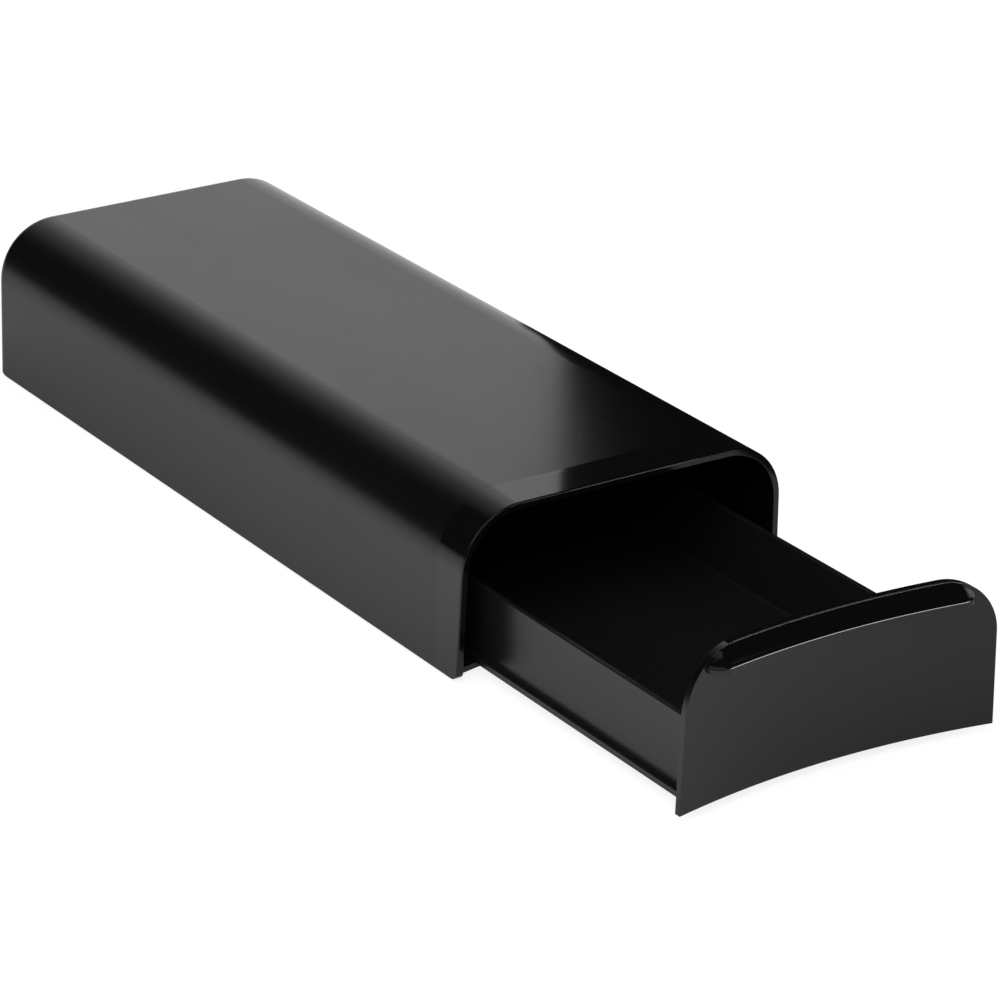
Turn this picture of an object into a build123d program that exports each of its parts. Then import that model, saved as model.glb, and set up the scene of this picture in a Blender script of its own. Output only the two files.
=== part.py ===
from build123d import *

import os
from math import asin, cos, degrees, radians, sin, sqrt, tan

# Coffee pod organizer: a moulded hood on a base plate, with one tray drawer that slides out to the front.
# Millimetres. +X is to the right of the drawer front, +Y to the back, +Z up. The origin lies on the
# standing surface, under the middle of the overall length with the drawer partly open.

# Housing shell
body_length = 326.0  # lower edge of the mouth to the back face
body_width = 129.0  # across the sides at their lower edge
body_height = 59.4  # lower edge of the sides to the top face
side_draft = 1.5  # degrees that each side leans in towards the top
wall = 2.5
corner_radius = 22.5  # long top edges
back_radius = 5.0  # edges round the back face
heel_radius = 10.0  # lower edge of the back
mouth_radius = 4.0  # lower corners of the mouth
mouth_rake = 2.2  # top of the mouth stands this far ahead of its lower edge
rim_bevel = 0.4  # outer edge of the mouth
brow_width = 13.5  # polished band along the top of the mouth
brow_drop = 0.08  # fall of that band towards the front
foot_proud = 0.8  # housing's lower edge above the standing surface

# Base plate and its fixings
base_thickness = 2.0
base_recess = 1.0  # underside of the plate above the housing's lower edge
base_gap = 0.2  # plate's edge to the housing's walls
boss_diameter = 5.0
boss_height = 9.0
boss_bite = 0.15  # how far a boss runs into the side wall
boss_rows = 3
boss_inset = 33.0  # first and last boss from the housing's ends
screw_diameter = 2.2
screw_length = 9.0
screw_head_diameter = 4.0
screw_head_height = 1.1
screw_hole_gap = 0.2  # clearance round a screw in the plate and the rails
pilot_gap = 0.05  # clearance round a screw in its boss
foot_diameter = 14.0
foot_chamfer = 0.4
foot_inset_x = 18.5  # foot's middle from the housing's side
foot_inset_y = 28.0  # foot's middle from the housing's ends

# Guide rails
rail_width = 6.3  # across the foot of a rail
rail_gap = 0.4  # tray's flange to the web and the lip of a rail
rail_web = 1.4
rail_foot = 1.4
rail_lip = 1.6
lip_clearance = 0.8  # lip's edge to the tray's side wall
rail_setback = 12.0  # front end of a rail behind the mouth
rail_back_gap = 4.0  # back end of a rail to the back wall

# Drawer tray
tray_back_gap = 6.5  # tray's back wall to the housing's with the drawer shut
tray_height = 27.1
tray_wall = 2.0
tray_floor = 2.0
tray_corner = 6.0  # corners of the walls
tray_edge = 0.4  # bevel on the top of the walls
well_bevel = 1.0  # bevel between the floor and the walls
flange_width = 2.2
run_gap = 0.3  # tray over the base plate
stop_length = 6.0  # stop blocks at the back end of the flanges
stop_height = 1.8
drawer_opening = 121.0  # how far the drawer stands open here
drawer_hold = 67.0  # length of the tray that stays in the housing at the stop
stop_gap = 0.3  # left between the stops at each end of the travel

# Drawer front
panel_thickness = 2.4
panel_gap = 1.0  # panel's edge to the mouth
panel_foot = 2.5  # panel's lower edge above the housing's lower edge
panel_corner = 21.0  # upper corners of the panel
panel_bow = 6.5  # middle of the panel behind its two ends
panel_rake = 1.4  # top of the panel stands this far ahead of its lower edge
pull_inset = 0.4  # lip's upper edge inside the panel's outline
pull_reach = 5.0  # front of the bead ahead of the panel's face
pull_drop = 6.9  # middle of the bead below the panel's top edge
pull_rise = 1.5  # rise of the lip's underside from the middle of the bead to the panel
pull_end_inset = 15.4  # where a rounded end of the lip starts, from the panel's side
bead_height = 2.7
scoop_depth = 0.7  # middle of the lip's hollow below the straight line across it
bead_round = 1.6  # upper edge of the bead
bead_bevel = 0.5  # lower edge of the bead
fixing_pitch = 60.0  # between the two screws of the front
fixing_height = 12.0  # screws above the tray's floor
post_diameter = 6.0
post_gap = 0.2
post_recess = 0.2  # post's end below the tray's pads, so that the screws clamp the wall
fixing_screw_diameter = 2.6
fixing_screw_length = 5.0
fixing_head_diameter = 8.0
fixing_head_height = 1.6
pad_diameter = 10.0
pad_height = 0.9  # flat pads for the screw heads, over the curve of the tray's front wall

# Heights and widths that follow from the sizes
rim_z = foot_proud
base_z = rim_z + base_recess
base_top = base_z + base_thickness
tray_z = base_top + run_gap
floor_top = tray_z + tray_floor
fixing_z = floor_top + fixing_height
tray_length = body_length - wall - tray_back_gap
boss_row_pitch = (body_length - 2 * boss_inset) / (boss_rows - 1)


def side_x(height, inset):
    """Half width of the housing's cross-section at a height over its lower edge."""
    lean = radians(side_draft)
    return body_width / 2 - height * tan(lean) - inset / cos(lean)


def face_r(z):
    """Radius of the panel's front face about the middle of its curve, at a height."""
    return bow_radius - (z - panel_z) * panel_rake / (panel_top - panel_z)


inner_half = side_x(base_recess + base_thickness, wall)  # half width inside the housing at the rails
boss_x = inner_half - boss_diameter / 2 + boss_bite
web_in = inner_half - base_gap - rail_width
web_out = web_in + rail_web
flange_half = web_in - rail_gap
tray_half = flange_half - flange_width
panel_inset = wall + panel_gap
panel_half = side_x(panel_foot, panel_inset)
panel_z = rim_z + panel_foot
panel_top = rim_z + body_height - panel_inset
bow_radius = (panel_half**2 + panel_bow**2) / (2 * panel_bow)
fixing_sag = bow_radius - sqrt(bow_radius**2 - (fixing_pitch / 2) ** 2)  # curve's depth at the fixings
bead_z = panel_top - pull_drop
pull_root = panel_thickness / 2  # how far the lip runs into the panel
pull_r = face_r(bead_z) + pull_root
pull_turn = asin((panel_half - pull_end_inset) / pull_r)

# Places along the length
pull_lead = pull_r * cos(pull_turn) - pull_root - pull_reach  # front of the lip from the middle of the curve
overhang = bow_radius - panel_bow - pull_lead  # front of the lip ahead of the panel's lower corners
back_y = (body_length + drawer_opening + overhang) / 2
front_y = back_y - body_length
mid_y = (front_y + back_y) / 2
drawer_y = front_y - drawer_opening
tray_back = drawer_y + tray_length
bow_centre = drawer_y + panel_bow - bow_radius  # middle of the panel's curve, ahead of the drawer
closed_centre = bow_centre + drawer_opening


def cross_plane(y):
    """Plane of a cross-section that looks to the front, with its origin at the housing's lower edge."""
    return Plane(origin=(0, y, rim_z), x_dir=(1, 0, 0), z_dir=(0, -1, 0))


def arch(inset, low, corner):
    """Housing's cross-section, inset from its outer faces, with its own upper corners and a level bottom."""
    high = body_height - inset
    with BuildSketch() as outline:
        with BuildLine():
            Polyline(
                (-side_x(low, inset), low),
                (-side_x(high, inset), high),
                (side_x(high, inset), high),
                (side_x(low, inset), low),
                close=True,
            )
        make_face()
        fillet(outline.vertices().group_by(Axis.Y)[-1], corner)
    return outline.sketch


def bowed_outline(half_width, centre, radius, back):
    """Plan of a plate with straight sides and back, and a front edge that bows in."""
    with BuildSketch() as outline:
        with BuildLine():
            corner = centre + sqrt(radius**2 - half_width**2)
            Polyline((-half_width, corner), (-half_width, back), (half_width, back), (half_width, corner))
            ThreePointArc((half_width, corner), (0, centre + radius), (-half_width, corner))
        make_face()
    return outline.sketch


def boss_plan(radius):
    """Circles at the six places where the base plate is screwed to the housing."""
    with BuildSketch() as circles:
        with Locations((0, mid_y)):
            with GridLocations(2 * boss_x, boss_row_pitch, 2, boss_rows):
                Circle(radius)
    return circles.sketch


def fixing_plan(radius):
    """Circles at the two places where the drawer front is screwed to the tray."""
    with BuildSketch() as circles:
        with Locations((0, fixing_z)):
            with GridLocations(fixing_pitch, 0, 2, 1):
                Circle(radius)
    return circles.sketch


# Housing shell: top, sides and back in one moulding, open below and in front
with BuildPart() as housing_shell:
    with BuildSketch(cross_plane(back_y)):
        add(arch(0, 0, corner_radius))
    extrude(amount=body_length + mouth_rake)
    back_face = housing_shell.faces().sort_by(Axis.Y)[-1]
    fillet(back_face.edges().sort_by(Axis.Z)[1:], back_radius)
    brow_y = front_y - mouth_rake + brow_width
    brow = Plane(origin=(0, brow_y, rim_z + body_height), x_dir=(1, 0, 0), z_dir=(0, -brow_drop, brow_width))
    split(bisect_by=brow, keep=Keep.BOTTOM)
    mouth = Plane(origin=(0, front_y, rim_z), x_dir=(1, 0, 0), z_dir=(0, body_height, mouth_rake))
    split(bisect_by=mouth, keep=Keep.TOP)
    mouth_face = housing_shell.faces().sort_by(Axis.Y)[0]
    chamfer(mouth_face.edges().sort_by(Axis.Z)[1:], rim_bevel)
    with BuildSketch(Plane.YZ) as side_view:
        with BuildLine():
            Polyline(
                (front_y - rim_bevel, rim_z),
                (front_y - rim_bevel - 2 * mouth_rake, rim_z + 2 * body_height),
                (back_y + wall, rim_z + 2 * body_height),
                (back_y + wall, rim_z),
                close=True,
            )
        make_face()
        fillet(side_view.vertices().group_by(Axis.Y)[0].sort_by(Axis.X)[0], mouth_radius)
        fillet(side_view.vertices().group_by(Axis.X)[-1].sort_by(Axis.Y)[0], heel_radius)
    extrude(amount=body_width, both=True, mode=Mode.INTERSECT)
    with BuildSketch(cross_plane(back_y - wall)):
        add(arch(wall, -wall, corner_radius - wall))
    extrude(amount=body_length + mouth_rake, mode=Mode.SUBTRACT)
    boss_z = base_top + rail_foot
    with BuildSketch(Plane.XY.offset(boss_z)):
        add(boss_plan(boss_diameter / 2))
    extrude(amount=boss_height)
    with BuildSketch(Plane.XY.offset(boss_z)):
        add(boss_plan(screw_diameter / 2 + pilot_gap))
    extrude(amount=screw_length - base_thickness - rail_foot + pilot_gap, mode=Mode.SUBTRACT)

# Base plate: closes the bottom, with a front edge that the drawer front shuts against
with BuildPart() as base_plate:
    base_half = side_x(base_recess, wall) - base_gap
    base_front = bow_radius + panel_thickness + stop_gap
    with BuildSketch(Plane.XY.offset(base_z)):
        add(bowed_outline(base_half, closed_centre, base_front, back_y - wall - base_gap))
        add(boss_plan(screw_diameter / 2 + screw_hole_gap), mode=Mode.SUBTRACT)
    extrude(amount=base_thickness)

# Screws that hold the base plate and the rails up against the bosses
with BuildPart() as base_screws:
    with BuildSketch(Plane.XY.offset(base_z - screw_head_height)):
        add(boss_plan(screw_head_diameter / 2))
    extrude(amount=screw_head_height)
    with BuildSketch(Plane.XY.offset(base_z)):
        add(boss_plan(screw_diameter / 2))
    extrude(amount=screw_length)

# Guide rails: a foot under the bosses, a web beside the tray's flange and a short lip over it
rail_length = body_length - wall - rail_setback - rail_back_gap
lip_length = drawer_hold - stop_length - stop_gap - rail_setback
with BuildPart() as guide_rail_right:
    with BuildSketch(Plane.XZ.offset(-front_y - rail_setback)):
        with Locations((web_in, base_top)):
            Rectangle(rail_width, rail_foot, align=(Align.MIN, Align.MIN))
            web_height = tray_floor + run_gap + rail_gap + rail_lip
            Rectangle(rail_web, web_height, align=(Align.MIN, Align.MIN))
    extrude(amount=-rail_length)
    with BuildSketch(Plane.XZ.offset(-front_y - rail_setback)):
        with Locations((web_out, base_top + web_height)):
            Rectangle(web_out - tray_half - lip_clearance, rail_lip, align=(Align.MAX, Align.MAX))
    extrude(amount=-lip_length)
    with BuildSketch(Plane.XY.offset(base_top)):
        add(boss_plan(screw_diameter / 2 + screw_hole_gap))
    extrude(amount=rail_foot, mode=Mode.SUBTRACT)

with BuildPart() as guide_rail_left:
    mirror(guide_rail_right.part, about=Plane.YZ)

# Rubber feet under the base plate
foot_x = body_width / 2 - foot_inset_x
foot_places = {
    "foot_front_left": (-foot_x, front_y + foot_inset_y),
    "foot_front_right": (foot_x, front_y + foot_inset_y),
    "foot_rear_left": (-foot_x, back_y - foot_inset_y),
    "foot_rear_right": (foot_x, back_y - foot_inset_y),
}
feet = []
for foot_name, foot_place in foot_places.items():
    with BuildPart() as foot:
        with BuildSketch():
            with Locations(foot_place):
                Circle(foot_diameter / 2)
        extrude(amount=base_z)
        chamfer(foot.edges().group_by(Axis.Z)[0], foot_chamfer)
    foot.part.label = foot_name
    feet.append(foot.part)

# Drawer tray: floor with running flanges, low walls, and stops at the back end
tray_front = bow_radius + panel_thickness
with BuildPart() as drawer_tray:
    with BuildSketch(Plane.XY.offset(tray_z)):
        add(bowed_outline(flange_half, bow_centre, tray_front, tray_back))
    extrude(amount=tray_floor)
    with BuildSketch(Plane.XY.offset(tray_z)) as tray_plan:
        add(bowed_outline(tray_half, bow_centre, tray_front, tray_back))
        fillet(tray_plan.vertices(), tray_corner)
    extrude(amount=tray_height)
    with BuildSketch(Plane.XY.offset(floor_top)) as tray_inside:
        add(bowed_outline(tray_half - tray_wall, bow_centre, tray_front + tray_wall, tray_back - tray_wall))
        fillet(tray_inside.vertices(), tray_corner - tray_wall)
    extrude(amount=tray_height, mode=Mode.SUBTRACT)
    chamfer(drawer_tray.edges().group_by(Axis.Z)[-1], tray_edge)
    well_floor = drawer_tray.faces().filter_by_position(Axis.Z, floor_top, floor_top).sort_by(SortBy.AREA)[-1]
    chamfer(well_floor.edges(), well_bevel)
    with BuildSketch(Plane.XY.offset(floor_top)):
        stop_width = flange_width + tray_wall / 2
        with GridLocations(2 * flange_half - stop_width, 0, 2, 1):
            with Locations((0, tray_back - stop_length / 2)):
                Rectangle(stop_width, stop_length)
    extrude(amount=stop_height)
    pad_y = bow_centre + tray_front + tray_wall + pad_height
    with BuildSketch(Plane.XZ.offset(-pad_y)):
        add(fixing_plan(pad_diameter / 2))
    extrude(amount=pad_height + fixing_sag + tray_wall / 2)
    with BuildSketch(Plane.XZ.offset(-pad_y)):
        add(fixing_plan(post_diameter / 2 + post_gap))
    extrude(amount=panel_bow + pad_height + tray_wall, mode=Mode.SUBTRACT)

# Pull lip of the drawer front: a scooped ledge with a bead along its edge, rounded back at both ends
spin_axis = Axis((0, bow_centre, 0), (0, 0, 1))


def pull_section():
    """Section of the lip, as the distance ahead of its root inside the panel, and the height."""
    tip = pull_root + pull_reach
    high = panel_top - pull_inset
    face = pull_r - face_r(high)
    bead_top = bead_z + bead_height / 2
    with BuildSketch() as section:
        with BuildLine():
            Polyline((tip, bead_top), (tip, bead_z - bead_height / 2), (0, bead_z + pull_rise), (0, high), (face, high))
            SagittaArc((face, high), (tip, bead_top), -scoop_depth)
        make_face()
        fillet(section.vertices().group_by(Axis.X)[-1].sort_by(Axis.Y)[-1], bead_round)
        chamfer(section.vertices().group_by(Axis.X)[-1].sort_by(Axis.Y)[0], bead_bevel)
    return section.sketch


with BuildPart() as pull_lip:
    with BuildSketch(Plane(origin=(0, bow_centre + pull_r, 0), x_dir=(0, -1, 0), z_dir=(-1, 0, 0))):
        add(pull_section())
    revolve(axis=spin_axis, revolution_arc=degrees(pull_turn))
    end_x = -pull_r * sin(pull_turn)
    end_y = bow_centre + pull_r * cos(pull_turn)
    ahead = (sin(pull_turn), -cos(pull_turn), 0)
    with BuildSketch(Plane(origin=(end_x, end_y, 0), x_dir=ahead, z_dir=(-cos(pull_turn), -sin(pull_turn), 0))):
        add(pull_section())
    revolve(axis=Axis((end_x, end_y, 0), (0, 0, -1)), revolution_arc=90)
    mirror(about=Plane.YZ)
    with BuildSketch(cross_plane(back_y)):
        add(arch(panel_inset + pull_inset, panel_foot, panel_corner - pull_inset))
    extrude(amount=2 * body_length, mode=Mode.INTERSECT)

# Drawer front: a bowed panel cut to the mouth's outline, with the lip in front and two posts behind
with BuildPart() as drawer_front:
    with BuildSketch(Plane.YZ):
        with BuildLine():
            low = panel_z - panel_gap
            high = panel_top + panel_gap
            Polyline(
                (bow_centre + face_r(low), low),
                (bow_centre + face_r(low) + panel_thickness, low),
                (bow_centre + face_r(high) + panel_thickness, high),
                (bow_centre + face_r(high), high),
                close=True,
            )
        make_face()
    revolve(axis=spin_axis, revolution_arc=2 * degrees(asin(panel_half / bow_radius)))
    mirror(about=Plane.YZ)
    with BuildSketch(cross_plane(back_y)):
        add(arch(panel_inset, panel_foot, panel_corner))
    extrude(amount=2 * body_length, mode=Mode.INTERSECT)
    add(pull_lip.part)
    with BuildSketch(Plane.XZ.offset(post_recess - pad_y)):
        add(fixing_plan(post_diameter / 2))
    fixing_lean = bow_radius - face_r(fixing_z)
    extrude(amount=pad_height - post_recess + tray_wall + fixing_sag + fixing_lean + panel_thickness / 2)
    with BuildSketch(Plane.XZ.offset(post_recess - pad_y)):
        add(fixing_plan(fixing_screw_diameter / 2 + pilot_gap))
    extrude(amount=fixing_screw_length - post_recess + pilot_gap, mode=Mode.SUBTRACT)

# Screws that hold the drawer front to the tray
with BuildPart() as front_screws:
    with BuildSketch(Plane.XZ.offset(-pad_y)):
        add(fixing_plan(fixing_head_diameter / 2))
    extrude(amount=-fixing_head_height)
    with BuildSketch(Plane.XZ.offset(-pad_y)):
        add(fixing_plan(fixing_screw_diameter / 2))
    extrude(amount=fixing_screw_length)

pieces = {
    "housing_shell": housing_shell,
    "base_plate": base_plate,
    "base_screws": base_screws,
    "guide_rail_left": guide_rail_left,
    "guide_rail_right": guide_rail_right,
    "drawer_tray": drawer_tray,
    "drawer_front": drawer_front,
    "front_screws": front_screws,
}
os.makedirs("parts", exist_ok=True)
for name, piece in pieces.items():
    piece.part.label = name
    export_step(piece.part, f"parts/{name}.step")
for foot_part in feet:
    export_step(foot_part, f"parts/{foot_part.label}.step")
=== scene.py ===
import logging
import math
from dataclasses import dataclass, field
from enum import Enum
from typing import Any

import bmesh
import bpy
from mathutils import Matrix, Vector


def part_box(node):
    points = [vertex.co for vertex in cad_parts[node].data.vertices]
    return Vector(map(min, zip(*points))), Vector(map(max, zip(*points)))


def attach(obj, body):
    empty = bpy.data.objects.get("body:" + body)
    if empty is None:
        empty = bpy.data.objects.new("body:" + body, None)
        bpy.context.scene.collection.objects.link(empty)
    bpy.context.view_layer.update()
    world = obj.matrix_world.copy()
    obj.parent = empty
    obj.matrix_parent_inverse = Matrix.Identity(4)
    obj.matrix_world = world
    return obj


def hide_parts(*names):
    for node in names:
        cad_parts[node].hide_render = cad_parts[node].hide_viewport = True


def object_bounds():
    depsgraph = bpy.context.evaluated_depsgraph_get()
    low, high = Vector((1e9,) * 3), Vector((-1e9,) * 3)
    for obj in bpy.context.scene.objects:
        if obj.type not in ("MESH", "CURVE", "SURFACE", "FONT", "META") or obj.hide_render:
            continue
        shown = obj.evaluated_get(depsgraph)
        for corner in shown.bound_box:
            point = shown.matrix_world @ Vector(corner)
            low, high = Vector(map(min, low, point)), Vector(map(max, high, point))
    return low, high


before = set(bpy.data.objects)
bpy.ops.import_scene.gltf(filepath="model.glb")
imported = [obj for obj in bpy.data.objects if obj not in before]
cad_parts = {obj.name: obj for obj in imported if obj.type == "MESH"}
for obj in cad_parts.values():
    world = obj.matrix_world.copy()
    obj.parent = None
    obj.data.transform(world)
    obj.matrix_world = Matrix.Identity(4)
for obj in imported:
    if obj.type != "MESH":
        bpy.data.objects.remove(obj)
cad_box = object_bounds()
log = logging.getLogger("organizer")
MM = 0.001
# A corner that is this near to a height, in metres, lies at it.
LEVEL_SLACK = 1e-6


def linear(hex_colour: str) -> tuple[float, float, float, float]:
    """Turns an sRGB hex value into the linear colour that a shader takes.

    Args:
        hex_colour: The colour as "#rrggbb".

    Returns:
        Red, green, blue and an alpha of 1.
    """
    parts = [int(hex_colour[i:i + 2], 16) / 255 for i in (1, 3, 5)]
    red, green, blue = [p / 12.92 if p <= 0.04045 else ((p + 0.055) / 1.055) ** 2.4 for p in parts]
    return red, green, blue, 1.0


def add_node(tree: bpy.types.NodeTree, kind: str, settings: dict[str, Any], inputs: dict[Any, Any]) -> bpy.types.Node:
    """Adds a node with its settings and links.

    Args:
        tree: The material's or world's node tree.
        kind: The node's type.
        settings: The node's own options, by name.
        inputs: A value or another node's output for each input, by name or number.

    Returns:
        The new node.
    """
    node = tree.nodes.new(kind)
    for name, value in settings.items():
        setattr(node, name, value)
    for key, value in inputs.items():
        if isinstance(value, bpy.types.NodeSocket):
            tree.links.new(value, node.inputs[key])
        else:
            node.inputs[key].default_value = value
    return node


def empty_material(name: str) -> bpy.types.Material:
    """Starts a node material with no nodes in it.

    Args:
        name: The material's name.

    Returns:
        The new material.
    """
    made = bpy.data.materials.new(name)
    made.use_nodes = True
    made.node_tree.nodes.clear()
    return made


def ray_kinds(tree: bpy.types.NodeTree) -> tuple[bpy.types.NodeSocket, bpy.types.NodeSocket]:
    """Adds the nodes that tell which kind of ray looks.

    Args:
        tree: The material's or world's node tree.

    Returns:
        A value that is 1 for a ray from the camera, and one that is 1 for a ray from a mirror or through glass.
    """
    ray = add_node(tree, "ShaderNodeLightPath", {}, {})
    mirror = add_node(tree, "ShaderNodeMath", {"operation": "MAXIMUM"}, {
        0: ray.outputs["Is Glossy Ray"], 1: ray.outputs["Is Transmission Ray"]})
    return ray.outputs["Is Camera Ray"], mirror.outputs["Value"]


class Axis(Enum):
    """The direction along which a band is measured."""

    ALONG = "Y"
    UP = "Z"


class Part(Enum):
    """What is picked in a mesh that is being edited."""

    FACES = "FACE"
    EDGES = "EDGE"


@dataclass(frozen=True)
class Band:
    """The part of a moulding whose tool has another finish: from one place to another along an axis, in mm."""

    axis: Axis
    start: float
    end: float
    roughness: float = 0.1
    blend: float = 0.3

    def mask(self, tree: bpy.types.NodeTree, where: bpy.types.NodeSocket) -> bpy.types.NodeSocket:
        """Adds the nodes that tell the band from the rest.

        Args:
            tree: The material's node tree.
            where: The place on the surface, in metres.

        Returns:
            A value that is 1 in the band and 0 outside it.
        """
        split = add_node(tree, "ShaderNodeSeparateXYZ", {}, {"Vector": where})
        along = split.outputs[self.axis.value]
        edge = self.blend * MM
        enters = add_node(tree, "ShaderNodeMapRange", {}, {
            "Value": along, "From Min": self.start * MM - edge, "From Max": self.start * MM + edge})
        leaves = add_node(tree, "ShaderNodeMapRange", {}, {
            "Value": along, "From Min": self.end * MM - edge, "From Max": self.end * MM + edge,
            "To Min": 1.0, "To Max": 0.0})
        inside = add_node(tree, "ShaderNodeMath", {"operation": "MULTIPLY"}, {
            0: enters.outputs["Result"], 1: leaves.outputs["Result"]})
        return inside.outputs["Value"]


@dataclass(frozen=True)
class MouldedAbs:
    """ABS moulded black against a fine satin tool.

    The eye sees a deep black body under a smooth sheen that mirrors the room a little softly, with a very fine even
    grain, faint flow marks and a patchy haze in it. A band is a sharp mirror where the tool was polished, or dull
    where it was left coarse.
    """

    name: str
    deep: str = "#060606"
    pale: str = "#090909"
    ior: float = 1.5
    roughness: float = 0.27
    roughness_swing: float = 0.02
    grain_mm: float = 0.8
    grain_depth_mm: float = 0.0012
    flow_mm: float = 38.0
    flow_stretch: tuple[float, float, float] = (1.0, 0.35, 1.0)
    haze_mm: float = 14.0
    haze_swing: float = 0.015
    edge_mm: float = 0.25
    band: Band | None = None

    def material(self) -> bpy.types.Material:
        """Builds the material.

        Returns:
            The node material.
        """
        made = empty_material(self.name)
        tree = made.node_tree
        place = add_node(tree, "ShaderNodeTexCoord", {}, {})
        where = place.outputs["Object"]
        # Flow marks run along the moulding, a few centimetres long.
        stretched = add_node(tree, "ShaderNodeMapping", {}, {"Vector": where, "Scale": self.flow_stretch})
        flow = add_node(tree, "ShaderNodeTexNoise", {}, {
            "Vector": stretched.outputs["Vector"], "Scale": 1 / (self.flow_mm * MM), "Detail": 3.0, "Roughness": 0.5})
        body = add_node(tree, "ShaderNodeMix", {"data_type": "RGBA"}, {
            "Factor": flow.outputs["Fac"], "A": linear(self.deep), "B": linear(self.pale)})
        gloss = add_node(tree, "ShaderNodeMapRange", {}, {
            "Value": flow.outputs["Fac"], "From Min": 0.3, "From Max": 0.7,
            "To Min": self.roughness - self.roughness_swing, "To Max": self.roughness + self.roughness_swing})
        # The tool's real grain is about 0.1 mm, too fine to show, so it is drawn coarser.
        grain = add_node(tree, "ShaderNodeTexNoise", {}, {
            "Vector": where, "Scale": 1 / (self.grain_mm * MM), "Detail": 2.0, "Roughness": 0.6})
        # Handling leaves a faint haze in patches, which dulls the mirror a little.
        haze = add_node(tree, "ShaderNodeTexNoise", {}, {
            "Vector": where, "Scale": 1 / (self.haze_mm * MM), "Detail": 4.0, "Roughness": 0.6})
        dulled = add_node(tree, "ShaderNodeMapRange", {}, {
            "Value": haze.outputs["Fac"], "From Min": 0.45, "From Max": 0.75, "To Max": self.haze_swing})
        worn = add_node(tree, "ShaderNodeMath", {"operation": "ADD"}, {
            0: gloss.outputs["Result"], 1: dulled.outputs["Result"]})
        roughness = worn.outputs["Value"]
        grain_strength: Any = 1.0
        if self.band:
            inside = self.band.mask(tree, where)
            polish = add_node(tree, "ShaderNodeMix", {"data_type": "FLOAT"}, {
                0: inside, 2: roughness, 3: self.band.roughness})
            roughness = polish.outputs[0]
            plain = add_node(tree, "ShaderNodeMath", {"operation": "SUBTRACT"}, {0: 1.0, 1: inside})
            grain_strength = plain.outputs["Value"]
        # No moulded edge is quite sharp: each one carries a hair-thin round that catches the light.
        eased = add_node(tree, "ShaderNodeBevel", {"samples": 6}, {"Radius": self.edge_mm * MM})
        bump = add_node(tree, "ShaderNodeBump", {}, {
            "Strength": grain_strength, "Distance": self.grain_depth_mm * MM, "Height": grain.outputs["Fac"],
            "Normal": eased.outputs["Normal"]})
        shader = add_node(tree, "ShaderNodeBsdfPrincipled", {}, {
            "Base Color": body.outputs["Result"], "Roughness": roughness, "IOR": self.ior,
            "Normal": bump.outputs["Normal"]})
        add_node(tree, "ShaderNodeOutputMaterial", {}, {"Surface": shader.outputs["BSDF"]})
        return made


@dataclass(frozen=True)
class SheetRubber:
    """Nitrile rubber cut from sheet.

    The eye sees a dull grey-black with no mirror in it, and the fine pitted face that the sheet's press left.
    """

    name: str = "nitrile_rubber"
    dark: str = "#141415"
    dusty: str = "#202021"
    ior: float = 1.52
    roughness: float = 0.75
    pit_mm: float = 0.5
    pit_depth_mm: float = 0.03

    def material(self) -> bpy.types.Material:
        """Builds the material.

        Returns:
            The node material.
        """
        made = empty_material(self.name)
        tree = made.node_tree
        place = add_node(tree, "ShaderNodeTexCoord", {}, {})
        pits = add_node(tree, "ShaderNodeTexNoise", {}, {
            "Vector": place.outputs["Object"], "Scale": 1 / (self.pit_mm * MM), "Detail": 3.0})
        tone = add_node(tree, "ShaderNodeMix", {"data_type": "RGBA"}, {
            "Factor": pits.outputs["Fac"], "A": linear(self.dark), "B": linear(self.dusty)})
        bump = add_node(tree, "ShaderNodeBump", {}, {
            "Strength": 1.0, "Distance": self.pit_depth_mm * MM, "Height": pits.outputs["Fac"]})
        shader = add_node(tree, "ShaderNodeBsdfPrincipled", {}, {
            "Base Color": tone.outputs["Result"], "Roughness": self.roughness, "IOR": self.ior,
            "Normal": bump.outputs["Normal"]})
        add_node(tree, "ShaderNodeOutputMaterial", {}, {"Surface": shader.outputs["BSDF"]})
        return made


@dataclass(frozen=True)
class ZincSteel:
    """Cold-headed steel wire, bright zinc plated.

    The eye sees a pale blue-grey metal with a soft broken mirror, cloudy where the plating grew unevenly.
    """

    name: str = "zinc_plated_steel"
    bright: str = "#c3c6c9"
    cloudy: str = "#a9adb2"
    cloud_mm: float = 1.2
    roughness: tuple[float, float] = (0.24, 0.36)

    def material(self) -> bpy.types.Material:
        """Builds the material.

        Returns:
            The node material.
        """
        made = empty_material(self.name)
        tree = made.node_tree
        place = add_node(tree, "ShaderNodeTexCoord", {}, {})
        clouds = add_node(tree, "ShaderNodeTexNoise", {}, {
            "Vector": place.outputs["Object"], "Scale": 1 / (self.cloud_mm * MM), "Detail": 4.0})
        tone = add_node(tree, "ShaderNodeMix", {"data_type": "RGBA"}, {
            "Factor": clouds.outputs["Fac"], "A": linear(self.bright), "B": linear(self.cloudy)})
        smooth, rough = self.roughness
        gloss = add_node(tree, "ShaderNodeMapRange", {}, {
            "Value": clouds.outputs["Fac"], "From Min": 0.3, "From Max": 0.7, "To Min": smooth, "To Max": rough})
        shader = add_node(tree, "ShaderNodeBsdfPrincipled", {}, {
            "Base Color": tone.outputs["Result"], "Roughness": gloss.outputs["Result"], "Metallic": 1.0})
        add_node(tree, "ShaderNodeOutputMaterial", {}, {"Surface": shader.outputs["BSDF"]})
        return made


def wear(node: bpy.types.Object, material: bpy.types.Material) -> None:
    """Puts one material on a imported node.

    Args:
        node: The node's object.
        material: Its finish.
    """
    for slot in node.material_slots:
        slot.material = material
    log.info("dressed %s in %s", node.name, material.name)


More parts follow.
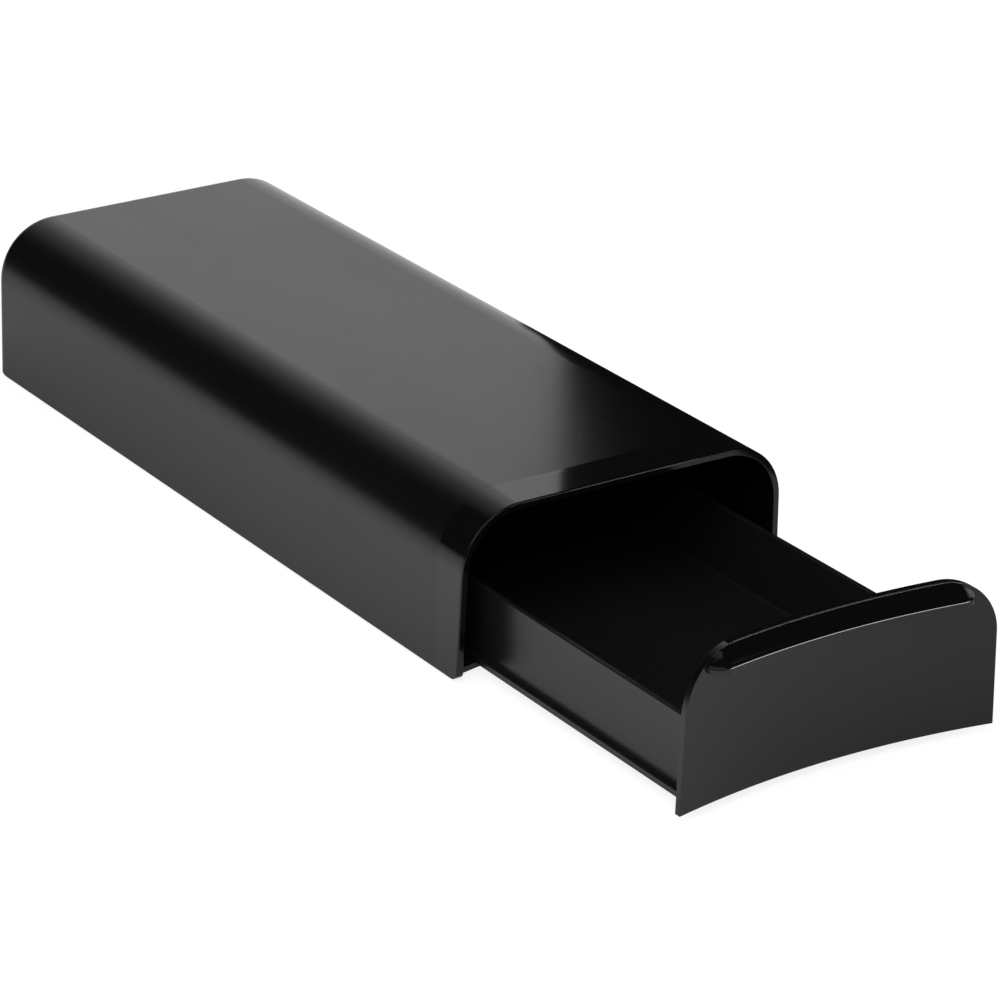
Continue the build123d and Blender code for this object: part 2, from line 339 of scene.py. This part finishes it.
@dataclass
class Housing:
    """The hood with its floor, rails and feet.

    The polished brow's width and the reach of the mouth's rake are in mm.
    """

    brow_width: float = 13.5
    mouth_rake: float = 2.2

    def dress(self) -> None:
        """Gives the housing's nodes their finishes."""
        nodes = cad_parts
        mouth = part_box("housing_shell")[0].y / MM
        brow = Band(Axis.ALONG, mouth - self.mouth_rake, mouth + self.mouth_rake + self.brow_width)
        wear(nodes["housing_shell"], MouldedAbs("satin_black_abs_hood", band=brow).material())
        plain = MouldedAbs("plain_black_abs", deep="#0c0c0c", pale="#121212", roughness=0.42, roughness_swing=0.05,
                           grain_depth_mm=0.006).material()
        for name in ("base_plate", "guide_rail_left", "guide_rail_right"):
            wear(nodes[name], plain)
        rubber = SheetRubber().material()
        for name in ("foot_front_left", "foot_front_right", "foot_rear_left", "foot_rear_right"):
            wear(nodes[name], rubber)


@dataclass
class Drawer:
    """The tray that slides, with its front panel and pull lip.

    The heights between which the lip is polished and the tray's floor is grained are in mm.
    """

    lip_foot: float = 47.5
    lip_top: float = 70.0
    well_foot: float = 5.9
    well_top: float = 7.4

    def dress(self) -> None:
        """Gives the drawer's nodes their finishes."""
        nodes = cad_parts
        grained = Band(Axis.UP, self.well_foot, self.well_top, roughness=0.42, blend=0.1)
        wear(nodes["drawer_tray"], MouldedAbs("satin_black_abs_tray", deep="#121212", pale="#181818", roughness=0.28,
                                              band=grained).material())
        bright = Band(Axis.UP, self.lip_foot, self.lip_top, roughness=0.06)
        wear(nodes["drawer_front"], MouldedAbs("satin_black_abs_front", edge_mm=0.14, band=bright).material())


def pick(piece: bpy.types.Object, part: Part, height: float) -> None:
    """Selects the faces or edges that lie level at a height, in the mesh that is being edited.

    Args:
        piece: The object in edit mode.
        part: Faces or edges.
        height: Their height, in metres.
    """
    bpy.ops.mesh.select_mode(type=part.value)
    bpy.ops.mesh.select_all(action="DESELECT")
    data = bmesh.from_edit_mesh(piece.data)
    for item in data.faces if part is Part.FACES else data.edges:
        if all(abs(corner.co.z - height) < LEVEL_SLACK for corner in item.verts):
            item.select_set(True)
    data.select_flush_mode()
    bmesh.update_edit_mesh(piece.data)


@dataclass
class Screw:
    """A self-tapping screw with a flanged pan head and a cross recess. Sizes are in mm.

    It is modelled with its seat at the origin and its shank along +Z.
    """

    node: str
    body: str
    head: float
    head_height: float
    flange_height: float
    flange_round: float
    crown: float
    crown_round: float
    shank: float
    shank_length: float
    cross: float
    cross_width: float
    cross_depth: float
    cross_taper: tuple[float, float, float] = (0.4, 0.7, 1.0)
    pitch: float = 0.9
    thread_depth: float = 0.28
    thread_steps: int = 24
    tip: float = 1.4
    tip_taper: tuple[float, float, float] = (0.45, 0.45, 1.0)
    head_sides: int = 48
    smooth_below: float = 32.0

    def turned(self) -> bpy.types.Object:
        """Models the head and the core.

        Returns:
            The blank screw.
        """
        bpy.ops.object.select_all(action="DESELECT")
        bpy.ops.mesh.primitive_cylinder_add(vertices=self.head_sides, radius=self.head / 2 * MM,
                                            depth=self.flange_height * MM,
                                            location=(0, 0, -self.flange_height / 2 * MM))
        blank = bpy.context.object
        blank.name = self.node + "_blank"
        bpy.ops.object.transform_apply(location=True, rotation=False, scale=False)
        bpy.ops.object.mode_set(mode="EDIT")
        pick(blank, Part.FACES, -self.flange_height * MM)
        bpy.ops.mesh.inset(thickness=(self.head - self.crown) / 2 * MM)
        bpy.ops.mesh.extrude_region_move(
            TRANSFORM_OT_translate={"value": (0, 0, (self.flange_height - self.head_height) * MM)})
        pick(blank, Part.EDGES, -self.head_height * MM)
        bpy.ops.mesh.bevel(offset=self.crown_round * MM, segments=5, affect="EDGES")
        pick(blank, Part.EDGES, -self.flange_height * MM)
        bpy.ops.mesh.bevel(offset=self.flange_round * MM, segments=2, affect="EDGES")
        pick(blank, Part.FACES, 0.0)
        core = self.shank - 2 * self.thread_depth
        bpy.ops.mesh.inset(thickness=(self.head - core) / 2 * MM)
        bpy.ops.mesh.extrude_region_move(
            TRANSFORM_OT_translate={"value": (0, 0, (self.shank_length - self.tip) * MM)})
        bpy.ops.mesh.extrude_region_move(TRANSFORM_OT_translate={"value": (0, 0, self.tip * MM)})
        bpy.ops.transform.resize(value=self.tip_taper)
        bpy.ops.object.mode_set(mode="OBJECT")
        return blank

    def recess(self, blank: bpy.types.Object) -> None:
        """Cuts the driver's cross into the head, as two tapered slots.

        Args:
            blank: The screw to cut.
        """
        bpy.ops.mesh.primitive_cube_add(size=1, location=(0, 0, -self.head_height * MM),
                                        scale=(self.cross * MM, self.cross_width * MM, 2 * self.cross_depth * MM))
        cutter = bpy.context.object
        bpy.ops.object.transform_apply(location=True, rotation=False, scale=True)
        bpy.ops.object.mode_set(mode="EDIT")
        pick(cutter, Part.FACES, (self.cross_depth - self.head_height) * MM)
        bpy.ops.transform.resize(value=self.cross_taper)
        bpy.ops.object.mode_set(mode="OBJECT")
        for turn in (0, 90):
            cutter.rotation_euler.z = math.radians(turn)
            bpy.context.view_layer.objects.active = blank
            slot = blank.modifiers.new("cross", "BOOLEAN")
            slot.operation = "DIFFERENCE"
            slot.object = cutter
            bpy.ops.object.modifier_apply(modifier=slot.name)
        bpy.ops.object.select_all(action="DESELECT")
        cutter.select_set(True)
        bpy.ops.object.delete()

    def thread(self, blank: bpy.types.Object) -> None:
        """Winds the thread round the core and joins it on.

        Args:
            blank: The screw that takes the thread.
        """
        bpy.ops.object.select_all(action="DESELECT")
        core = self.shank / 2 - self.thread_depth
        bpy.ops.mesh.primitive_circle_add(vertices=3, radius=self.thread_depth * MM,
                                          location=(core * MM, 0, self.pitch * MM),
                                          rotation=(math.pi / 2, math.pi / 2, 0))
        ridge = bpy.context.object
        bpy.ops.object.transform_apply(location=True, rotation=True, scale=True)
        wound = ridge.modifiers.new("helix", "SCREW")
        wound.axis = "Z"
        wound.screw_offset = self.pitch * MM
        wound.iterations = int((self.shank_length - self.tip) / self.pitch) - 1
        wound.steps = self.thread_steps
        wound.render_steps = self.thread_steps
        bpy.ops.object.modifier_apply(modifier=wound.name)
        bpy.ops.object.mode_set(mode="EDIT")
        bpy.ops.mesh.select_all(action="SELECT")
        bpy.ops.mesh.fill_holes(sides=3)
        bpy.ops.mesh.normals_make_consistent(inside=False)
        bpy.ops.object.mode_set(mode="OBJECT")
        blank.select_set(True)
        bpy.context.view_layer.objects.active = blank
        bpy.ops.object.join()
        bpy.ops.object.shade_smooth_by_angle(angle=math.radians(self.smooth_below))

    def build(self, places: list[Matrix], steel: bpy.types.Material) -> None:
        """Models the screw once and sets a copy at each place.

        Args:
            places: Where each screw sits and how it is turned.
            steel: The finish.
        """
        blank = self.turned()
        self.recess(blank)
        self.thread(blank)
        blank.data.materials.append(steel)
        for number, place in enumerate(places, 1):
            screw = blank.copy()
            screw.name = f"{self.node}_{number}"
            screw.data = blank.data.copy()
            screw.data.transform(place)
            bpy.context.scene.collection.objects.link(screw)
            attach(screw, self.body)
            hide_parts(self.node)
            log.info("built %s", screw.name)
        bpy.data.objects.remove(blank)


@dataclass
class Screws:
    """The small screws under the base plate and inside the tray's front wall.

    Each is driven to its own angle: a turn is in radians for each mm of the screw's place.
    """

    rows: int = 3
    base_turn: float = 7.0
    front_turn: float = 5.0
    base: Screw = field(default_factory=lambda: Screw(
        "base_screws", "housing", head=4.0, head_height=1.1, flange_height=0.4, flange_round=0.08, crown=3.4,
        crown_round=0.4, shank=2.2, shank_length=9.0, cross=2.0, cross_width=0.5, cross_depth=0.75))
    front: Screw = field(default_factory=lambda: Screw(
        "front_screws", "drawer", head=8.0, head_height=1.6, flange_height=0.7, flange_round=0.14, crown=5.2,
        crown_round=0.6, shank=2.6, shank_length=5.0, cross=3.0, cross_width=0.7, cross_depth=1.1))

    def build(self) -> None:
        """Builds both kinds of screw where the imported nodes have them."""
        steel = ZincSteel().material()
        low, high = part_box(self.base.node)
        reach = self.base.head / 2 * MM
        across = high.x - reach
        first = low.y + reach
        step = (high.y - low.y - 2 * reach) / (self.rows - 1)
        seat = low.z + self.base.head_height * MM
        places = [Vector((side * across, first + row * step, seat)) for side in (-1, 1) for row in range(self.rows)]
        self.base.build([Matrix.Translation(at) @ Matrix.Rotation(self.base_turn * at.y / MM, 4, "Z")
                         for at in places], steel)
        low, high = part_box(self.front.node)
        across = high.x - self.front.head / 2 * MM
        seat = high.y - self.front.head_height * MM
        lying = Matrix.Rotation(math.pi / 2, 4, "X")
        places = [Vector((side * across, seat, (low.z + high.z) / 2)) for side in (-1, 1)]
        self.front.build([Matrix.Translation(at) @ lying @ Matrix.Rotation(self.front_turn * at.x / MM, 4, "Z")
                          for at in places], steel)


@dataclass(frozen=True)
class Card:
    """A soft-edged bright patch of the surround.

    Each four angles say where it begins, is full, is last full and ends: bearings round the object and heights
    above the horizon.
    """

    bearings: tuple[float, float, float, float]
    heights: tuple[float, float, float, float]
    level: float

    def add(self, tree: bpy.types.NodeTree, bearing: bpy.types.NodeSocket,
            height: bpy.types.NodeSocket) -> bpy.types.NodeSocket:
        """Adds the patch to a world.

        Args:
            tree: The world's node tree.
            bearing: The ray's bearing, in radians.
            height: The ray's height above the horizon, in radians.

        Returns:
            The patch's brightness in the ray's direction.
        """
        whole: Any = self.level
        for angle, bounds in ((bearing, self.bearings), (height, self.heights)):
            begin, full, last, end = (math.radians(a) for a in bounds)
            enters = add_node(tree, "ShaderNodeMapRange", {}, {
                "Value": angle, "From Min": begin, "From Max": full, "To Max": whole})
            leaves = add_node(tree, "ShaderNodeMapRange", {}, {
                "Value": angle, "From Min": last, "From Max": end, "To Min": enters.outputs["Result"], "To Max": 0.0})
            whole = leaves.outputs["Result"]
        return whole


@dataclass(frozen=True)
class PaperSweep:
    """White uncoated paper, smooth from its rollers, under the object.

    The eye sees a matt white that keeps a faint shadow. A mirror sees painted light that pools at the front left,
    painted shade on the right and close to the object, and a painted bright patch behind it on the right. Places and
    lengths are in metres.
    """

    name: str = "white_paper_sweep"
    paper: str = "#f4f4f4"
    paper_level: float = 1.13
    glow_share: float = 0.75
    painted_pool_level: float = 1.0
    pool_fall: float = 2.6
    pool_shift: tuple[float, float, float] = (0.1, 0.06, 0.0)
    pool_stretch: tuple[float, float, float] = (1.0, 0.45, 1.0)
    painted_shade_right: tuple[float, float] = (0.1, 0.2)
    shade_share: float = 0.5
    painted_contact_reach: float = 0.06
    painted_contact_share: float = 0.58
    painted_back_level: float = 1.2
    back_right: tuple[float, float] = (0.07, 0.1)
    back_behind: tuple[float, float] = (0.12, 0.18)

    def painted_light_pool(self, tree: bpy.types.NodeTree) -> bpy.types.NodeSocket:
        """Adds the painted light and shade that a mirror sees on the paper.

        Args:
            tree: The paper's node tree.

        Returns:
            The light at each place.
        """
        place = add_node(tree, "ShaderNodeTexCoord", {}, {})
        where = place.outputs["Object"]
        axes = add_node(tree, "ShaderNodeSeparateXYZ", {}, {"Vector": where})
        # Painted light: a pool along the object's left and front, which falls off to the far right.
        spread = add_node(tree, "ShaderNodeMapping", {}, {
            "Vector": where, "Location": self.pool_shift, "Scale": self.pool_stretch})
        distance = add_node(tree, "ShaderNodeVectorMath", {"operation": "LENGTH"}, {0: spread.outputs["Vector"]})
        falls = add_node(tree, "ShaderNodeMath", {"operation": "MULTIPLY"}, {
            0: distance.outputs["Value"], 1: -self.pool_fall})
        fades = add_node(tree, "ShaderNodeMath", {"operation": "EXPONENT"}, {0: falls.outputs["Value"]})
        # Painted shade: the paper's mirror light is dimmer on the right.
        begins, full = self.painted_shade_right
        shade = add_node(tree, "ShaderNodeMapRange", {"interpolation_type": "SMOOTHSTEP"}, {
            "Value": axes.outputs["X"], "From Min": begins, "From Max": full,
            "To Min": 1.0, "To Max": self.shade_share})
        shaded = add_node(tree, "ShaderNodeMath", {"operation": "MULTIPLY"}, {
            0: fades.outputs["Value"], 1: shade.outputs["Result"]})
        # Painted shade: close to the object the paper's mirror light is dimmed, as if the floor lay in its shade.
        away = add_node(tree, "ShaderNodeVectorMath", {"operation": "ABSOLUTE"}, {0: where})
        past = add_node(tree, "ShaderNodeVectorMath", {"operation": "SUBTRACT"}, {
            0: away.outputs["Vector"], 1: (cad_box[1][0], cad_box[1][1], 0.0)})
        clear = add_node(tree, "ShaderNodeVectorMath", {"operation": "MAXIMUM"}, {0: past.outputs["Vector"]})
        gap = add_node(tree, "ShaderNodeVectorMath", {"operation": "LENGTH"}, {0: clear.outputs["Vector"]})
        painted_contact_shade = add_node(tree, "ShaderNodeMapRange", {}, {
            "Value": gap.outputs["Value"], "From Min": 0.0, "From Max": self.painted_contact_reach,
            "To Min": self.painted_contact_share * self.painted_pool_level, "To Max": self.painted_pool_level})
        near = add_node(tree, "ShaderNodeMath", {"operation": "MULTIPLY"}, {
            0: shaded.outputs["Value"], 1: painted_contact_shade.outputs["Result"]})
        # Painted light: behind it to the right the paper is painted as bright as the sweep.
        begins, full = self.back_right
        right = add_node(tree, "ShaderNodeMapRange", {"interpolation_type": "SMOOTHSTEP"}, {
            "Value": axes.outputs["X"], "From Min": begins, "From Max": full, "To Max": self.painted_back_level})
        begins, full = self.back_behind
        behind = add_node(tree, "ShaderNodeMapRange", {"interpolation_type": "SMOOTHSTEP"}, {
            "Value": axes.outputs["Y"], "From Min": begins, "From Max": full, "To Max": right.outputs["Result"]})
        light = add_node(tree, "ShaderNodeMath", {"operation": "MAXIMUM"}, {
            0: near.outputs["Value"], 1: behind.outputs["Result"]})
        return light.outputs["Value"]

    def material(self) -> bpy.types.Material:
        """Builds the material.

        Returns:
            The node material.
        """
        made = empty_material(self.name)
        tree = made.node_tree
        camera, mirror = ray_kinds(tree)
        level = add_node(tree, "ShaderNodeMix", {"data_type": "FLOAT"}, {
            0: camera, 2: self.painted_light_pool(tree), 3: self.paper_level})
        seen = add_node(tree, "ShaderNodeMath", {"operation": "MAXIMUM"}, {0: camera, 1: mirror})
        share = add_node(tree, "ShaderNodeMath", {"operation": "MULTIPLY"}, {
            0: seen.outputs["Value"], 1: self.glow_share})
        glow = add_node(tree, "ShaderNodeEmission", {}, {"Strength": level.outputs[0]})
        matt = add_node(tree, "ShaderNodeBsdfDiffuse", {}, {"Color": linear(self.paper)})
        blend = add_node(tree, "ShaderNodeMixShader", {}, {
            0: share.outputs["Value"], 1: matt.outputs["BSDF"], 2: glow.outputs["Emission"]})
        add_node(tree, "ShaderNodeOutputMaterial", {}, {"Surface": blend.outputs["Shader"]})
        return made


@dataclass(frozen=True)
class CottonVelvet:
    """Cotton velvet, woven with a cut pile and dyed black. The eye sees almost no light come back from it."""

    name: str = "black_velvet"
    pile: str = "#202020"

    def material(self) -> bpy.types.Material:
        """Builds the material.

        Returns:
            The node material.
        """
        made = empty_material(self.name)
        tree = made.node_tree
        nap = add_node(tree, "ShaderNodeBsdfDiffuse", {}, {"Color": linear(self.pile)})
        add_node(tree, "ShaderNodeOutputMaterial", {}, {"Surface": nap.outputs["BSDF"]})
        return made


@dataclass(frozen=True)
class LitDiffuser:
    """A sheet of opal plastic lit from behind. The eye sees one even bright face."""

    name: str = "strip_light"
    level: float = 10.0

    def material(self) -> bpy.types.Material:
        """Builds the material.

        Returns:
            The node material.
        """
        made = empty_material(self.name)
        tree = made.node_tree
        glow = add_node(tree, "ShaderNodeEmission", {}, {"Strength": self.level})
        add_node(tree, "ShaderNodeOutputMaterial", {}, {"Surface": glow.outputs["Emission"]})
        return made


@dataclass(frozen=True)
class UprightCard:
    """An upright card that only the plastic's mirror sees.

    Its middle, width and height are in mm. Its turn is that of its width from +X, in degrees.
    """

    name: str
    middle: tuple[float, float, float]
    turn: float
    size: tuple[float, float]

    def stand(self, finish: bpy.types.Material) -> None:
        """Stands the card beside the object.

        Args:
            finish: Its material.
        """
        bpy.ops.object.select_all(action="DESELECT")
        bpy.ops.mesh.primitive_plane_add(size=MM, location=Vector(self.middle) * MM,
                                         rotation=(math.pi / 2, 0, math.radians(self.turn)))
        card = bpy.context.object
        card.name = self.name
        card.scale = (*self.size, 1)
        bpy.ops.object.transform_apply(location=True, rotation=True, scale=True)
        card.data.materials.append(finish)
        card.visible_camera = False
        card.visible_diffuse = False
        card.visible_shadow = False


@dataclass
class Studio:
    """The camera, the pale floor, the surround and the cards that the plastic mirrors, and the soft lamp.

    Angles are in degrees. A bearing is measured from straight back, +Y, towards the right, +X. The camera's place and
    the housing's length are in mm, and the floor and the lamp are in metres.
    """

    camera_from_mouth: tuple[float, float, float] = (-764.675, -1095.838, 621.535)
    housing_length: float = 326.0
    bearing: float = 33.185
    pitch: float = 23.184
    roll: float = -0.406
    focal_px: float = 4423.675
    frame_px: float = 1000.0
    sensor: float = 36.0
    # The pale sweep behind and on the right, the low card at the front right, and the pale walls in front and on
    # the left.
    cards: tuple[Card, ...] = (
        Card((-12, 14, 80, 100), (-10, -9, 38, 55), 0.44),
        Card((14, 28, 80, 100), (-10, -9, 38, 55), 0.48),
        Card((112, 125, 168, 178), (-10, -9, 6, 11), 1.3),
        Card((168, 176, 181, 182), (12, 20, 50, 70), 0.45),
        Card((-182, -181, -62, -46), (12, 20, 50, 70), 0.45),
    )
    dark_level: float = 0.016
    ambient: float = 0.6
    # The tall black card close to the right side, and a low wing behind it.
    black_cards: tuple[UprightCard, ...] = (
        UprightCard("black_flag_1", (94.0, -65.5, 260.0), 90.0, (279.0, 480.0)),
        UprightCard("black_flag_2", (94.0, 83.0, 42.0), 90.0, (18.0, 44.0)),
    )
    # The small bright card that draws the line on the bead.
    strip: UprightCard = UprightCard("strip_card", (185.0, -459.0, 62.0), 38.0, (150.0, 70.0))
    floor_half: float = 4.0
    floor_height: float = -0.0001
    lamp_place: tuple[float, float, float] = (-0.95, -0.95, 1.35)
    lamp_target: tuple[float, float, float] = (0.0, 0.0, 0.03)
    lamp_size: tuple[float, float] = (1.6, 1.2)
    lamp_energy: float = 20.0

    def camera(self) -> None:
        """Sets the camera where the photograph was taken from."""
        turn, dip, lean = (math.radians(a) for a in (self.bearing, self.pitch, self.roll))
        ahead = Vector((math.sin(turn) * math.cos(dip), math.cos(turn) * math.cos(dip), -math.sin(dip)))
        level = ahead.cross(Vector((0, 0, 1))).normalized()
        down = ahead.cross(level)
        right = math.cos(lean) * level + math.sin(lean) * down
        below = -math.sin(lean) * level + math.cos(lean) * down
        data = bpy.data.cameras.new("viewpoint")
        data.sensor_width = self.sensor
        data.lens = self.focal_px / self.frame_px * self.sensor
        data.clip_start = 0.05
        data.clip_end = 50.0
        view = bpy.data.objects.new("viewpoint", data)
        bpy.context.scene.collection.objects.link(view)
        turned = Matrix((right, -below, -ahead)).transposed()
        low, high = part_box("housing_shell")
        mouth = Vector((0, high.y - self.housing_length * MM, low.z))
        view.matrix_world = Matrix.Translation(mouth + Vector(self.camera_from_mouth) * MM) @ turned.to_4x4()
        bpy.context.scene.camera = view

    def surround(self) -> None:
        """Makes the world: white to look at, and to a mirror a dark studio with its cards."""
        world = bpy.data.worlds.new("studio_surround")
        world.use_nodes = True
        # It answers each kind of ray in its own way, so it isn't sampled as a lamp.
        world.cycles.sampling_method = "NONE"
        tree = world.node_tree
        tree.nodes.clear()
        place = add_node(tree, "ShaderNodeTexCoord", {}, {})
        axes = add_node(tree, "ShaderNodeSeparateXYZ", {}, {"Vector": place.outputs["Generated"]})
        bearing = add_node(tree, "ShaderNodeMath", {"operation": "ARCTAN2"}, {
            0: axes.outputs["X"], 1: axes.outputs["Y"]}).outputs["Value"]
        height = add_node(tree, "ShaderNodeMath", {"operation": "ARCSINE"}, {0: axes.outputs["Z"]}).outputs["Value"]
        lit: Any = self.dark_level
        for card in self.cards:
            lit = add_node(tree, "ShaderNodeMath", {"operation": "ADD"}, {
                0: lit, 1: card.add(tree, bearing, height)}).outputs["Value"]
        camera, mirror = ray_kinds(tree)
        soft = add_node(tree, "ShaderNodeMix", {"data_type": "FLOAT"}, {0: mirror, 2: self.ambient, 3: lit})
        level = add_node(tree, "ShaderNodeMix", {"data_type": "FLOAT"}, {0: camera, 2: soft.outputs[0], 3: 1.0})
        glow = add_node(tree, "ShaderNodeBackground", {}, {
            "Color": linear("#ffffff"), "Strength": level.outputs[0]})
        add_node(tree, "ShaderNodeOutputWorld", {}, {"Surface": glow.outputs["Background"]})
        bpy.context.scene.world = world

    def floor(self) -> None:
        """Lays the pale floor just under the feet."""
        bpy.ops.mesh.primitive_plane_add(size=2 * self.floor_half, location=(0, 0, self.floor_height))
        plane = bpy.context.object
        plane.name = "floor"
        plane.data.materials.append(PaperSweep().material())

    def upright_cards(self) -> None:
        """Stands the black cards and the bright one in their places."""
        velvet = CottonVelvet().material()
        for card in self.black_cards:
            card.stand(velvet)
        self.strip.stand(LitDiffuser().material())

    def lamp(self) -> None:
        """Hangs one large soft lamp over the front left, which casts the shadow and isn't mirrored."""
        data = bpy.data.lights.new("softbox", "AREA")
        data.shape = "RECTANGLE"
        data.size, data.size_y = self.lamp_size
        data.energy = self.lamp_energy
        box = bpy.data.objects.new("softbox", data)
        box.visible_glossy = False
        bpy.context.scene.collection.objects.link(box)
        place = Vector(self.lamp_place)
        box.location = place
        box.rotation_euler = (Vector(self.lamp_target) - place).to_track_quat("-Z", "Y").to_euler()

    def build(self) -> None:
        """Sets up the whole studio."""
        bpy.ops.object.select_all(action="DESELECT")
        self.camera()
        self.surround()
        self.floor()
        self.upright_cards()
        self.lamp()
        bpy.context.scene.view_settings.view_transform = "Standard"


def main() -> None:
    """Dresses each sub-assembly in turn and sets up the studio."""
    logging.basicConfig(level=logging.INFO, format="%(name)s: %(message)s")
    Housing().dress()
    Drawer().dress()
    Screws().build()
    Studio().build()


if __name__ == "__main__":
    main()
